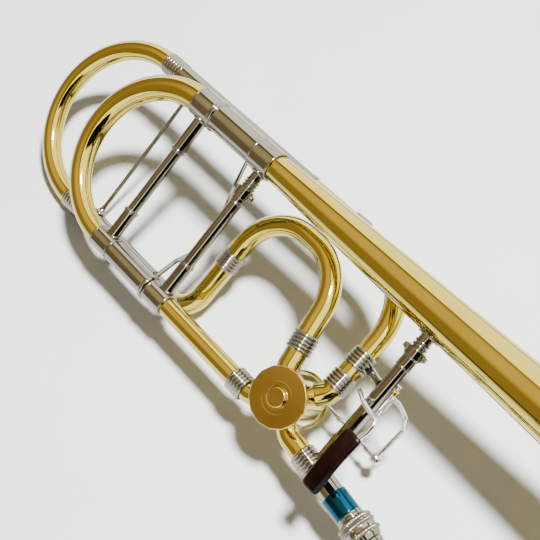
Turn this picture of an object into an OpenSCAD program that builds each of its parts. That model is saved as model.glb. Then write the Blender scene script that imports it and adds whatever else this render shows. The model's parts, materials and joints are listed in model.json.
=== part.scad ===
// Tenor trombone with an F attachment, lying at rest on a table.
//
// Instrument frame: X runs forward along the tubes towards the bell, Y runs
// from the neckpipe line (y = 0) to the bell axis (y = leg_gap), and Z points
// to the player's side, where the mouthpiece tube of the hand slide is.
// lay() rolls that frame onto the bell rim, the F tuning slide and the bow.

/* [Bell section] */
// Distance between the two legs of the main tuning slide
leg_gap = 122; // [118:0.5:126]
// Outer radius of the bell at its mouth
bell_mouth_r = 108; // [105:0.5:110]
// Station of the bell mouth along X
bell_end_x = 655; // [640:1:670]
// Wall of the bell
bell_wall = 0.8; // [0.6:0.1:1]
// Outer radius of the neckpipe
neck_r = 7.25; // [7.1:0.05:7.3]

/* [F attachment] */
// Depth of the F tubing below the bell plane
f_depth = 36.3; // [34:0.1:38]
// Distance between the two legs of the F tuning slide
f_gap = 130.8; // [128:0.2:132]
// Outer radius of the F tubing
f_r = 7.65; // [7.4:0.05:7.7]

/* [Hand slide] */
// Distance between the two tubes of the hand slide
slide_gap = 88; // [84:1:92]
// Outer radius of the outer slide tubes
outer_tube_r = 8.05; // [8:0.01:8.2]
// Angle by which the hand slide runs away from the bell
slide_splay = 6.28; // [5.5:0.01:7]
// Radius of the mouthpiece receiver's bore
receiver_bore_r = 6.35; // [6:0.05:6.5]

/* [Hidden] */
$fn = 72;

BRASS = "#c8992e";
NICKEL = "#b8b0a0";
STEEL = "#c9c9c6";

gap = 0.05;          // solder gap between pieces that touch
wall = 0.7;          // wall of the bent tubes

// Stations of the main tuning slide along X
ring_1 = 2;
ring_2 = 20.4;
ring_3 = 64.3;
crook_x = 4;
crook_stub = 6;
crook_neck_r = 7.55;
crook_bell_r = 9.9;
bell_leg_r = 9.82;
bell_sleeve_r = 10.5;
inner_neck_r = 7.3;
joint_x = 76;        // where neckpipe and bell stem start, inside their ferrules

// F attachment
f_y0 = (leg_gap - f_gap) / 2 - 2;
f_y1 = f_y0 + f_gap;
f_z = -f_depth;
f_crook_x = -65.4;
f_ferrule_x = -67;
f_sleeve_x = -52;
f_sleeve_r = 8.15;
f_ring_r = 8.7;
f_leg_r = 7.47;
f_upper_end = 95;
f_lower_end = 56;

// Valve
valve = [195.4, 17, 0];
casing_r = 18.3;
rotor_r = 16;
cap_r = 20.6;
cap_z = 15;
port_in = 16.6;      // where the tubes end, inside the casing's wall
port_out = 20.5;     // where the sloping port's tube is cut straight
stem_r = 3;
arm_z = -31;
pin_r = 8;           // radius of the rotor arm's pin

// Routes of the F tubing: corner points, and the bend radius at each
loop_route = [valve, [180.3, 29.6, -1], [164, 100, -14], [86, 100, -27], [80, f_y0, f_z],
              [f_lower_end, f_y0, f_z]];
loop_bends = [8.5, 40, 42, 22];
return_route = [valve, [211, 35.9, -8], [206, f_y1, f_z], [f_upper_end, f_y1, f_z]];
return_bends = [8, 52];
loop_in = 0.26;      // ferrules, as fractions of the straight they sit on
loop_out = 0.49;
return_low = 0.1;
return_high = 0.305;
leg_ferrule_x = 141;

// Thumb lever
hinge = [242, 0, -10];
ball = [254.5, 20.5, -34];
brace_x = 238.5;
brace_r = 4.7;
lever_y = 49;      // lever rod, spring and ball arm, along the hinge
spring_y = 51.2;
spring_len = 8;
arm_y = 61.2;
front_x = 75.5;
slide_brace_x = 12.5;

// Hand slide, in its own frame: X along the slide, Z from tube to tube
slide_start = [225, -2.5, 0];
socket_r = 8.2;
nut_x = 53.5;
nut_len = 16;
tenon_end = 82;
barrel_x = 82;
barrel_end = 122;
barrel_r = 10.4;
inner_tube_r = 7.35;
stocking_r = 7.52;
inner_end = 726;
outer_start = 92;
outer_end = 735;
bow_x = 765;
bow_r = 8.3;
bow_ring_r = 9.2;
key_x = 714;
key_z = 15;

// The outside follows a Bessel horn, drawn in a little at the small end
horn_power = 0.8;
horn_offset = 39.4;
tail_start = 380;
tail_pull = 0.000061;
rim_gap = 1.5;       // how far the sheet stops short of the mouth
wire_r = 1.6;
flare_x = 470;
function bell_r(x) = let (s = bell_end_x - x)
    bell_mouth_r * pow(horn_offset / (s + horn_offset), horn_power)
    - tail_pull * pow(max(0, s - tail_start), 2);
function bell_slope(x) = (bell_r(x + 0.1) - bell_r(x - 0.1)) / 0.2;
function bell_out(x) = [bell_r(x), x];
function bell_in(x) = let (m = bell_slope(x), k = bell_wall / sqrt(1 + m * m))
    [bell_r(x) - k, x + k * m];

// The wire rolled into the rim sits just beyond the edge of the sheet
rim_x = bell_end_x - rim_gap;
rim_wire = bell_out(rim_x) + (wire_r + 0.3) * [bell_slope(rim_x), 1] / norm([bell_slope(rim_x), 1]);

// The resting pose: roll until the bell rim and the F slide both touch the table
rim_reach = rim_wire[0] + wire_r;
roll = asin((rim_reach - f_ring_r) / norm([leg_gap - f_y0, f_depth]))
       - atan2(f_depth, leg_gap - f_y0);
table_drop = f_ring_r - f_y0 * sin(roll) - f_z * cos(roll);
// The hand slide is lifted just enough for the bow to touch the table too
bow_reach = bow_x - 15;
bow_y = slide_start[1] - bow_reach * sin(slide_splay);
slide_lift = asin((bow_ring_r - table_drop - bow_y * sin(roll)) / cos(roll) / bow_reach);

function unit(v) = v / norm(v);
function step(from, to, d) = from + unit(to - from) * d;
function mix(a, b, t) = a + (b - a) * t;
function slide_point(x, z = 0) = slide_start + [
    x * cos(slide_lift) * cos(slide_splay) - z * sin(slide_lift) * cos(slide_splay),
    -x * cos(slide_lift) * sin(slide_splay) + z * sin(slide_lift) * sin(slide_splay),
    x * sin(slide_lift) + z * cos(slide_lift)];
function table_y(p) = p[1] * cos(roll) - p[2] * sin(roll);

x_low = f_crook_x - f_gap / 2 - f_r;
x_high = slide_point(bow_x + slide_gap / 2 + bow_r + 7)[0];
y_low = table_y(slide_point(bow_reach, slide_gap)) - bow_ring_r;
y_high = leg_gap * cos(roll) + rim_reach;
origin_shift = [-(x_low + x_high) / 2, -(y_low + y_high) / 2, table_drop];

module lay() {
    translate(origin_shift) rotate([roll, 0, 0]) children();
}

module on_slide() {
    lay() translate(slide_start) rotate([0, -slide_lift, -slide_splay]) children();
}

// ---- helpers ----

// Revolve an outline (radius, station) about X, or about Y
module lathe_x() { rotate([0, 90, 0]) rotate_extrude() children(); }
module lathe_y() { rotate([-90, 0, 0]) rotate_extrude() children(); }

module pipe(x0, x1, r, w = wall) {
    lathe_x() translate([r - w, x0]) square([w, x1 - x0]);
}

// Put +X along a direction, at a point
module aim(p, d) {
    n = unit(d);
    translate(p) rotate([0, -asin(n[2]), atan2(n[1], n[0])]) children();
}

function turn(p, i) = acos(unit(p[i] - p[i - 1]) * unit(p[i + 1] - p[i]));
function setback(p, bends, i) =
    i == 0 || i == len(p) - 1 ? 0 : bends[i - 1] * tan(turn(p, i) / 2);

// One arc of a route, between its two straights
module bend(p, i, radius) {
    before = unit(p[i] - p[i - 1]);
    after = unit(p[i + 1] - p[i]);
    axis = unit(cross(before, after));
    out = cross(before, axis);
    centre = p[i] - before * radius * tan(turn(p, i) / 2) - out * radius;
    multmatrix([[out[0], before[0], axis[0], centre[0]],
                [out[1], before[1], axis[1], centre[1]],
                [out[2], before[2], axis[2], centre[2]],
                [0, 0, 0, 1]])
        rotate_extrude(angle = turn(p, i)) translate([radius, 0]) children();
}

// A tube bent along a route, its straights and arcs butted end to end
module run(p, bends, r, w = wall, seam = 0.02) {
    last = len(p) - 1;
    for (i = [0:last - 1]) {
        d = unit(p[i + 1] - p[i]);
        a = p[i] + d * (setback(p, bends, i) + (i > 0 ? seam : 0));
        b = p[i + 1] - d * (setback(p, bends, i + 1) + (i + 1 < last ? seam : 0));
        aim(a, d) pipe(0, norm(b - a), r, w);
    }
    for (i = [1:1:last - 1]) bend(p, i, bends[i - 1]) difference() {
        circle(r);
        circle(r - w);
    }
}

// The same route as points, for a swept rod
function arc_points(p, bends, i, n) = let (
    before = unit(p[i] - p[i - 1]),
    out = cross(before, unit(cross(before, unit(p[i + 1] - p[i])))),
    centre = p[i] - before * setback(p, bends, i) - out * bends[i - 1])
    [for (k = [0:n]) let (a = turn(p, i) * k / n)
        centre + bends[i - 1] * (out * cos(a) + before * sin(a))];
function rounded(p, bends, n = 4) = concat(
    [p[0]], [for (i = [1:1:len(p) - 2], q = arc_points(p, bends, i, n)) q], [p[len(p) - 1]]);

function tangents(q) = [for (i = [0:len(q) - 1])
    unit(q[min(i + 1, len(q) - 1)] - q[max(i - 1, 0)])];
function square_to(v, t) = unit(v - t * (v * t));
function side_ways(t, start) = [
    for (i = 0, v = square_to(start, t[0]); i < len(t);
         i = i + 1, v = square_to(v, t[min(i, len(t) - 1)])) v];

// Sweep a round rod along points q, with radius r[i] at each; start is any
// direction across the first step
module sweep(q, r, sides, start) {
    t = tangents(q);
    v = side_ways(t, start);
    rings = len(q);
    polyhedron([for (i = [0:rings - 1], k = [0:sides - 1]) let (b = 360 * k / sides)
                   q[i] + r[i] * (cos(b) * v[i] + sin(b) * cross(t[i], v[i]))],
        concat([[for (k = [0:sides - 1]) k]],
               [for (j = [0:rings - 2], k = [0:sides - 1])
                   [j * sides + k, (j + 1) * sides + k,
                    (j + 1) * sides + (k + 1) % sides, j * sides + (k + 1) % sides]],
               [[for (k = [sides - 1:-1:0]) (rings - 1) * sides + k]]));
}

module rod(p, bends, r) {
    q = rounded(p, bends);
    sweep(q, [for (i = q) r], 12, [0, 0.1, 1]);
}

// A collar with n raised rings
function ridges(length, low, high, n) = [
    for (i = [0:n - 1], s = [[0.12, low], [0.32, high], [0.68, high], [0.88, low]])
        [s[1], (i + s[0]) * length / n]];

module ridged_ring(length, bore, low, high, n) {
    lathe_x() polygon(concat([[bore, 0], [low, 0]], ridges(length, low, high, n),
                             [[low, length], [bore, length]]));
}

// A turned rod along Y from bands of [start, end, radius]
module turned_rod(bands) {
    last = len(bands) - 1;
    lathe_y() polygon(concat([[0, bands[0][0]]],
                             [for (b = bands, y = [b[0], b[1]]) [b[2], y]],
                             [[0, bands[last][1]]]));
}

// The pad that solders a brace to a tube along X
module saddle(x, y, tube_r, reach) {
    intersection() {
        translate([0, y, 0]) pipe(x - reach, x + reach, tube_r + gap + 1, 1);
        translate([x, leg_gap / 2, 0]) rotate([y < leg_gap / 2 ? 90 : -90, 0, 0])
            cylinder(h = leg_gap, r = reach);
    }
}

module tube_void(y, r) { translate([-20, y, 0]) rotate([0, 90, 0]) cylinder(h = 320, r = r + gap); }

// ---- bell ----

module bell_piece(x0, x1, n, ease) {
    stations = [for (i = [0:n]) x1 - (x1 - x0) * pow(i / n, ease)];
    lathe_x() polygon(concat([for (x = stations) bell_out(x)],
                             [for (i = [n:-1:0]) bell_in(stations[i])]));
}

module bell_flare() {
    color(BRASS) lay() translate([0, leg_gap, 0])
        bell_piece(flare_x + gap, rim_x, 36, 1.7);
}

module bell_stem() {
    color(BRASS) lay() translate([0, leg_gap, 0]) bell_piece(joint_x, flare_x, 16, 1);
}

module bell_rim_wire() {
    color(BRASS) lay() translate([0, leg_gap, 0]) lathe_x() translate(rim_wire) circle(wire_r);
}

module bell_ferrule() {
    color(NICKEL) lay() translate([ring_3 + 0.2, leg_gap, 0])
        lathe_x() polygon([[bell_sleeve_r + gap, 0], [11.2, 0], [11.4, 0.8], [11.2, 1.6],
                           [11.2, 17.4], [11.4, 18.2], [11.2, 19], [10.1, 19], [10.1, 10],
                           [bell_sleeve_r + gap, 10]]);
}

module bell_sleeve() {
    color(NICKEL) lay() translate([0, leg_gap, 0]) lathe_x()
        polygon([[bell_sleeve_r - 0.6, ring_2 + 0.3], [11.6, ring_2 + 0.3], [12, ring_2 + 1],
                 [12, ring_2 + 2.2], [11.6, ring_2 + 2.9], [bell_sleeve_r, ring_2 + 3.1],
                 [bell_sleeve_r, joint_x - 2], [bell_sleeve_r - 0.6, joint_x - 2]]);
}

// ---- neckpipe ----

module neck_ferrule() {
    color(NICKEL) lay() translate([ring_3 + 0.2, 0, 0])
        lathe_x() polygon([[inner_neck_r + gap, 0], [8.8, 0], [9, 0.8], [8.8, 1.6],
                           [8.8, 17.4], [9, 18.2], [8.8, 19], [inner_neck_r + gap, 19]]);
}

module neck_inner_tube() {
    color(NICKEL) lay() pipe(24, joint_x - 0.2, inner_neck_r, 0.5);
}

neck_corner = [174, 0, 0];
module neckpipe() {
    color(BRASS) lay()
        run([[joint_x, 0, 0], neck_corner, step(valve, neck_corner, port_in)], [15], neck_r, 0.6);
}

// Seven alike, where the bent tubes join
module ringed_ferrule() {
    translate([-6.5, 0, 0]) ridged_ring(13, f_r + gap, 8.3, 9.1, 5);
}

module ringed_ferrules() {
    color(NICKEL) {
        lay() {
            translate([162.5, 0, 0]) ringed_ferrule();
            aim(mix(loop_route[1], loop_route[2], loop_in), loop_route[2] - loop_route[1])
                ringed_ferrule();
            aim(mix(loop_route[3], loop_route[4], loop_out), loop_route[4] - loop_route[3])
                ringed_ferrule();
            for (t = [return_low, return_high])
                aim(mix(return_route[1], return_route[2], t), return_route[2] - return_route[1])
                    ringed_ferrule();
            translate([leg_ferrule_x, f_y1, f_z]) ringed_ferrule();
        }
        on_slide() translate([6.5, 0, 0]) ringed_ferrule();
    }
}

// ---- valve ----

slide_corner = slide_point(-15.6);

module valve_casing() {
    color(BRASS) lay() translate(valve) difference() {
        translate([0, 0, -16.5]) cylinder(h = cap_z + 16.3, r = casing_r);
        translate([0, 0, -17]) cylinder(h = 40, r = rotor_r + 0.1);
        for (p = [loop_route[1], return_route[1], neck_corner, slide_corner])
            aim([0, 0, 0], p - valve) rotate([0, 90, 0]) cylinder(h = 30, r = f_r + 0.1);
    }
}

module valve_back_plate() {
    color(BRASS) lay() translate(valve + [0, 0, -19.7]) difference() {
        union() {
            cylinder(h = 3.1, r = casing_r);
            translate([0, 0, 0.6]) cylinder(h = 1.6, r = 19.6);
        }
        translate([0, 0, -1]) cylinder(h = 6, r = stem_r + 0.08);
    }
}

module stop_bumpers() {
    color("#b98a5a") lay() for (a = [196, 344])
        translate(valve + 9 * [cos(a), sin(a), 0] + [0, 0, -27.5]) cylinder(h = 7.7, r = 2.3);
}

module valve_cap() {
    sides = 14;
    color(BRASS) lay() translate(valve) rotate_extrude()
        polygon([[0, 13], [15.8, 13], [15.8, cap_z], [cap_r - 0.5, cap_z], [cap_r - 0.1, cap_z + 0.4],
                 [cap_r - 0.1, 18.8], [cap_r - 0.6, 19.2], [8, 19.2], [7.6, 18.7], [7.2, 19.2],
                 [6.7, 21], [6.1, 21.5], [0, 21.5]]);
    color(BRASS) lay() translate(valve + [0, 0, cap_z + 0.5]) linear_extrude(3.1) difference() {
        polygon([for (i = [0:sides - 1]) (cap_r + 0.5) * [cos(i * 360 / sides), sin(i * 360 / sides)]]);
        circle(cap_r - 1);
    }
}

module rotor() {
    passage = rotor_r * sqrt(2);
    color(BRASS) lay() translate(valve) {
        difference() {
            translate([0, 0, -15.5]) cylinder(h = 28, r = rotor_r);
            for (a = [92, 265]) translate(passage * [cos(a), sin(a), 0])
                rotate_extrude() translate([rotor_r, 0]) circle(f_r - wall);
        }
        translate([0, 0, arm_z]) cylinder(h = -arm_z - 15.5, r = stem_r);
    }
}

module rotor_arm() {
    color(STEEL) lay() translate(valve + [0, 0, arm_z]) difference() {
        union() {
            translate([0, 0, 0.4]) cylinder(h = 5.8, r = 5);
            rotate([0, 0, 45]) translate([0, -2.2, 0.7]) cube([pin_r + 1, 4.4, 2.4]);
            rotate([0, 0, 45]) translate([pin_r, 0, 0]) rotate([0, 0, 20]) cylinder(h = 3.5, r = 2.8);
            rotate([0, 0, 225]) translate([0, -1.5, 2.7]) cube([11, 3, 3]);
        }
        translate([0, 0, -1]) cylinder(h = 9, r = stem_r + gap);
    }
}

// ---- gooseneck and slide socket ----

module gooseneck() {
    color(BRASS) lay()
        run([step(valve, slide_corner, port_in), slide_corner, slide_point(12.9)], [12], 7.6);
}

module slide_socket() {
    color(NICKEL) on_slide() lathe_x()
        polygon([[7.2, 13.1], [8.6, 13.1], [8.8, 14], [8.6, 15], [socket_r, 15.4],
                 [socket_r, 49.3], [9.4, 49.3], [9.4, 53], [socket_r, 53], [socket_r, 69],
                 [7.2, 69]]);
}

module blue_ring() {
    color("#1f7f9f") on_slide() pipe(33.4, 49.2, 8.9, 8.9 - socket_r - gap);
}

module bell_nut() {
    color(NICKEL) on_slide() translate([nut_x, 0, 0])
        ridged_ring(nut_len, socket_r + 0.1, 11.2, 12.4, 5);
}

// ---- F tubing ----

loop_in_point = mix(loop_route[1], loop_route[2], loop_in);
loop_out_point = mix(loop_route[3], loop_route[4], loop_out);
low_point = mix(return_route[1], return_route[2], return_low);
high_point = mix(return_route[1], return_route[2], return_high);
module loop_elbow() {
    color(BRASS) lay()
        run([step(valve, loop_route[1], port_in), loop_route[1], loop_in_point], [loop_bends[0]], f_r);
}

module loop_crown() {
    color(BRASS) lay()
        run([step(loop_in_point, loop_route[2], 0.3), loop_route[2], loop_route[3], loop_out_point],
            [loop_bends[1], loop_bends[2]], f_r);
}

module loop_s_bend() {
    color(BRASS) lay()
        run([step(loop_out_point, loop_route[4], 0.3), loop_route[4], loop_route[5] + [0.2, 0, 0]],
            [loop_bends[3]], f_r);
}

// Its port slopes, so the straight beside the rotor is cut to the rotor's bore
module return_elbow() {
    color(BRASS) lay() {
        run([step(valve, return_route[1], port_out), return_route[1], low_point],
            [return_bends[0]], f_r);
        difference() {
            aim(valve, return_route[1] - valve) pipe(12, port_out - 0.02, f_r);
            translate(valve + [0, 0, -30]) cylinder(h = 60, r = rotor_r + 0.1);
        }
    }
}

module return_link() {
    color(BRASS) lay()
        run([step(low_point, return_route[2], 0.3), high_point], [], f_r);
}

module return_bend() {
    color(BRASS) lay()
        run([step(high_point, return_route[2], 0.3), return_route[2],
             return_route[3] + [0.2, 0, 0]], [return_bends[1]], f_r);
}

module f_outer_sleeves() {
    ends = [[f_y0, f_lower_end], [f_y1, f_upper_end]];
    color(NICKEL) lay() for (e = ends) translate([0, e[0], f_z]) lathe_x()
        polygon([[7.55, f_sleeve_x + 0.3], [8.5, f_sleeve_x + 0.3], [8.7, f_sleeve_x + 1.5],
                 [8.5, f_sleeve_x + 2.7], [f_sleeve_r, f_sleeve_x + 3], [f_sleeve_r, e[1] - 4],
                 [8.5, e[1] - 3.6], [8.5, e[1]], [7.55, e[1]]]);
}

// Thin stay between the two outer sleeves
module f_slide_stay() {
    length = f_gap - 2 * f_sleeve_r - 2 * gap;
    color(NICKEL) lay() translate([-34, f_y0 + f_sleeve_r + gap, f_z]) difference() {
        lathe_y() polygon([[0, 0], [5, 0], [4.6, 1.4], [2.6, 3], [1.6, 8], [1.6, length - 8],
                           [2.6, length - 3], [4.6, length - 1.4], [5, length], [0, length]]);
        for (y = [-f_sleeve_r, length + f_sleeve_r]) translate([-10, y, 0])
            rotate([0, 90, 0]) cylinder(h = 20, r = f_sleeve_r + 1.5 + gap);
    }
}

module f_crook() {
    color(BRASS) lay()
        run([[-60.5, f_y0, f_z], [f_crook_x - f_gap / 2, f_y0, f_z],
             [f_crook_x - f_gap / 2, f_y1, f_z], [-60.5, f_y1, f_z]],
            [f_gap / 2 - 0.01, f_gap / 2 - 0.01], f_r, wall, 0);
}

module f_crook_ferrules() {
    color(NICKEL) lay() for (y = [f_y0, f_y1]) translate([f_ferrule_x, y, f_z])
        ridged_ring(14.8, f_r + gap, 8.2, f_ring_r, 4);
}

module f_inner_legs() {
    color(NICKEL) lay() for (y = [f_y0, f_y1]) translate([0, y, f_z])
        pipe(-60.2, 40, f_leg_r, 0.5);
}

// ---- main tuning slide ----

// The crook grows from the neck leg to the bell leg, so it is swept ring by ring
crook_rings = 36;
function crook_path(stub) = concat(
    [[crook_x + stub, 0, 0]],
    [for (i = [0:crook_rings]) let (a = 180 * i / crook_rings)
        [crook_x - leg_gap / 2 * sin(a), leg_gap / 2 * (1 - cos(a)), 0]],
    [[crook_x + stub, leg_gap, 0]]);

module crook_solid(stub, inset) {
    q = crook_path(stub);
    sweep(q, [for (i = [0:len(q) - 1])
                 mix(crook_neck_r, crook_bell_r, min(max(i - 1, 0) / crook_rings, 1)) - inset],
          32, [0, 0, 1]);
}

module tuning_crook() {
    color(BRASS) lay() difference() {
        crook_solid(crook_stub, 0);
        crook_solid(crook_stub + 1, wall);
    }
}

module crook_ferrule(r, bore) {
    color(NICKEL) lathe_x()
        polygon([[bore, ring_1], [r, ring_1], [r + 0.25, ring_1 + 0.7], [r, ring_1 + 1.4],
                 [r, ring_2 - 1.4], [r + 0.25, ring_2 - 0.7], [r, ring_2], [bore, ring_2]]);
}

module crook_ferrule_bell() {
    lay() translate([0, leg_gap, 0]) crook_ferrule(10.9, crook_bell_r + 0.2);
}

module crook_ferrule_neck() { lay() crook_ferrule(8.7, crook_neck_r + 0.2); }

module crook_inner_leg() {
    color(NICKEL) lay() translate([0, leg_gap, 0]) pipe(crook_x + crook_stub + 0.3, 62, bell_leg_r, 0.5);
}

module crook_outer_sleeve() {
    color(NICKEL) lay() lathe_x()
        polygon([[inner_neck_r + 0.08, ring_2], [8.3, ring_2], [8.3, ring_3 - 3.3],
                 [9.5, ring_3 - 3], [9.9, ring_3 - 2.2], [9.9, ring_3 - 1.1], [9.5, ring_3 - 0.3],
                 [inner_neck_r + 0.08, ring_3 - 0.3]]);
}

// ---- braces ----

module slide_brace() {
    color(NICKEL) lay() {
        difference() {
            translate([slide_brace_x, 0, 0])
                turned_rod([[8, 29, 5], [29, 30.4, 5.7], [30.4, 31.4, 5], [31.4, 84, 4.2],
                            [84, 85, 5], [85, 86.4, 5.7], [86.4, 112, 5]]);
            tube_void(0, 9.7);
            tube_void(leg_gap, 11.9);
        }
        saddle(slide_brace_x, 0, 8.7, 6);
        saddle(slide_brace_x, leg_gap, 10.9, 6);
    }
}

module front_brace() {
    color(NICKEL) lay() {
        difference() {
            translate([front_x, 0, 0]) {
                turned_rod([[8, 30, 5.1], [30, 31.4, 5.8], [31.4, 32.4, 5.1], [32.4, 86, 4.5],
                            [86, 87, 5.4], [87, 88, 4.8], [88, 91, 5.4], [91, 98.5, 6.3],
                            [98.5, 99.6, 4.6], [99.6, 100.8, 5.3], [100.8, 102, 4.3],
                            [102, 103.2, 5.3], [103.2, 104.4, 4.3], [104.4, 105.6, 5.3],
                            [105.6, 113, 4.6]]);
                translate([-8.5, 95, 0]) rotate([0, 90, 0]) cylinder(h = 17, r = 2.4);
            }
            tube_void(0, 9.8);
            tube_void(leg_gap, 12.2);
        }
        saddle(front_x, 0, 8.8, 6);
        saddle(front_x, leg_gap, 11.2, 6);
    }
}

module main_brace() {
    bell_here = bell_r(brace_x);
    color(NICKEL) difference() {
        lay() translate([brace_x, 0, 0]) {
            turned_rod([[0, 21, 5.2], [21, 22.4, 6], [22.4, 23.8, 5.2], [23.8, 82, brace_r],
                        [82, 83, 5.6], [83, 90, 5.2], [90, 91, 6], [91, 97, 6.8],
                        [97, 98.2, 4.8], [98.2, 99.6, 5.6], [99.6, 101, 4.6], [101, 102.4, 5.6],
                        [102.4, 112, 4.8]]);
            translate([-9, 94, 0]) rotate([0, 90, 0]) cylinder(h = 18, r = 2.4);
        }
        on_slide() translate([-10, 0, 0]) rotate([0, 90, 0]) cylinder(h = 50, r = socket_r + 1.7);
        lay() tube_void(leg_gap, bell_here + 1.6);
    }
    color(NICKEL) difference() {
        lay() saddle(brace_x, leg_gap, bell_here + 0.4, 8);
        lay() translate([0, leg_gap, 0]) bell_core();
    }
    color(NICKEL) intersection() {
        on_slide() pipe(16, 30, socket_r + 1.6, 1.55);
        lay() translate([brace_x, -10, 0]) rotate([-90, 0, 0]) cylinder(h = 40, r = 5.6);
    }
}

module bell_core() {
    lathe_x() polygon([[0, brace_x - 20], [bell_r(brace_x - 20) + gap, brace_x - 20],
                       [bell_r(brace_x + 20) + gap, brace_x + 20], [0, brace_x + 20]]);
}

// Three light stays tie the F tubing to the braces
module f_stays() {
    upper = [[40, 118, -34], [54, 90, -22], [70.5, 74, -2]];
    lower = [[44, -1, -31], [56, 22, -18], [70.4, 38, -2]];
    across = [[218, 62.5, -19], [234.2, 64, -2]];
    color(NICKEL) lay() difference() {
        union() {
            rod(upper, [12], 1.6);
            rod(lower, [12], 1.8);
            rod(across, [], 2.6);
        }
        for (y = [f_y0, f_y1]) translate([-20, y, f_z]) rotate([0, 90, 0])
            cylinder(h = 150, r = f_sleeve_r + gap);
        for (b = [[front_x, 5.1], [brace_x, brace_r]]) translate([b[0], 0, 0]) rotate([-90, 0, 0])
            cylinder(h = 120, r = b[1] + gap);
        aim(low_point, return_route[2] - return_route[1]) translate([-20, 0, 0]) rotate([0, 90, 0])
            cylinder(h = 60, r = 9.1 + gap);
    }
}

// ---- thumb lever ----

hinge_bore_r = 1.25;

module hinge_posts() {
    color(BRASS) lay() difference() {
        union() for (y = [43.8, 63.6]) {
            translate([hinge[0], y, hinge[2]]) rotate([-90, 0, 0]) cylinder(h = 3, r = 3);
            translate([brace_x - 2.6, y, hinge[2]]) cube([6, 3, -hinge[2]]);
        }
        translate([brace_x, 40, 0]) rotate([-90, 0, 0]) cylinder(h = 40, r = brace_r + gap);
        translate([brace_x - 10, 40, 0]) cube([20, 40, 10]);
        translate([hinge[0], 40, hinge[2]]) rotate([-90, 0, 0]) cylinder(h = 40, r = hinge_bore_r);
    }
}

module hinge_pin() {
    color(STEEL) lay() translate([hinge[0], 0, hinge[2]])
        turned_rod([[43.2, 68, 1.2], [68, 70.5, 2.2]]);
}

module trigger_spring() {
    color(STEEL) lay() translate([hinge[0], spring_y, hinge[2]]) lathe_y()
        polygon(concat([[2.75, 0], [3.3, 0]], ridges(spring_len, 3.3, 4, 10),
                       [[3.3, spring_len], [2.75, spring_len]]));
}

lever_rod_r = 1.7;
lever_route = [[hinge[0], lever_y, hinge[2]], [226.8, 50, -9.3], [226.8, 53, -1],
               [239, 52.5, 14.5], [255, 52, 25.5], [255.5, 43, 27.2], [252.5, 30, 29.6]];

module lever_rod(r) { rod(lever_route, [4, 5, 8, 4, 5], r); }

module trigger_lever() {
    color(STEEL) lay() difference() {
        union() {
            translate([hinge[0], 47.1, hinge[2]]) rotate([-90, 0, 0]) cylinder(h = 16.2, r = 2.4);
            lever_rod(lever_rod_r);
        }
        translate([hinge[0], 40, hinge[2]]) rotate([-90, 0, 0]) cylinder(h = 40, r = hinge_bore_r);
    }
}

paddle_bow = 77;
module trigger_paddle() {
    color("#3a1210") lay() difference() {
        translate([251.2, 17, 33.6 - paddle_bow]) rotate([0, -90, 0]) rotate([0, 0, -18])
            rotate_extrude(angle = 35) translate([paddle_bow - 5, -6.3]) offset(1.6) translate([1.6, 1.6])
                square([1.8, 9.4]);
        lever_rod(lever_rod_r + gap);
    }
}

module trigger_arm() {
    color(STEEL) lay() difference() {
        union() {
            rod([[hinge[0], arm_y, hinge[2]], [248, 61, -14], [256, 57, -17],
                 [258.2, 49.3, -26], ball], [3, 4, 6], 1.6);
            translate(ball) sphere(3);
        }
        translate([hinge[0], 40, hinge[2]]) rotate([-90, 0, 0]) cylinder(h = 40, r = 2.4 + gap);
    }
}

// The rod runs back to the rotor arm, from a cup that holds the lever's ball
module link_rod() {
    far = valve + [pin_r * cos(45), pin_r * sin(45), 0] + [0, 0, ball[2]];
    color(STEEL) lay() difference() {
        union() {
            translate(ball) sphere(4.4);
            aim(ball, far - ball) {
                translate([3.8, 0, 0]) rotate([0, 90, 0]) cylinder(h = norm(far - ball) - 5, r = 1.4);
                translate([6, 0, 0]) rotate([0, 90, 0]) cylinder(h = 4, r = 2.5);
                translate([34, 0, 0]) rotate([0, 90, 0]) cylinder(h = 3, r = 2.5);
            }
            translate(far + [0, 0, -1.8]) cylinder(h = 3.6, r = 3.4);
        }
        translate(ball) sphere(3.15);
        translate(ball) aim([0, 0, 0], [3.5, 12.5, 1]) rotate([0, 90, 0])
            cylinder(h = 10, r1 = 2.6, r2 = 7);
    }
}

// ---- hand slide, inner ----

module slide_tenon() {
    color(NICKEL) on_slide() lathe_x()
        polygon([[6.2, 40], [7.12, 40], [7.12, 69.4], [8.9, 69.7], [9, 71], [9, tenon_end],
                 [inner_tube_r + gap, tenon_end], [inner_tube_r + gap, 76], [6.2, 76]]);
}

module mouthpiece_receiver() {
    color(NICKEL) on_slide() translate([0, 0, slide_gap]) lathe_x()
        polygon([[receiver_bore_r, 67], [10.6, 67], [11, 67.8], [11, 69.6], [10.2, 70.4],
                 [9.4, 80], [9.4, barrel_x - gap], [receiver_bore_r, barrel_x - gap]]);
}

module cork_barrels() {
    color(NICKEL) on_slide() for (z = [0, slide_gap]) translate([0, 0, z]) lathe_x()
        polygon([[inner_tube_r + gap, barrel_x], [9.6, barrel_x], [barrel_r, barrel_x + 1.2],
                 [barrel_r, barrel_end - 11], [barrel_r, barrel_end], [8.75, barrel_end],
                 [8.75, barrel_x + 6], [inner_tube_r + gap, barrel_x + 6]]);
}

// A hand brace between the slide's two tubes
module slide_cross(x, tube_r, r) {
    difference() {
        union() {
            translate([x, 0, 0]) cylinder(h = slide_gap, r = r);
            for (z = [20, slide_gap - 20]) translate([x, 0, z - 1]) cylinder(h = 2, r = r + 1);
            for (z = [0, slide_gap]) translate([x, 0, z]) cylinder(h = 27, r = r + 1.6, center = true);
        }
        for (z = [0, slide_gap]) translate([x - 15, 0, z]) rotate([0, 90, 0])
            cylinder(h = 30, r = tube_r + gap);
    }
}

module grip_brace() { color(NICKEL) on_slide() slide_cross(96, barrel_r, 4.6); }

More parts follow.
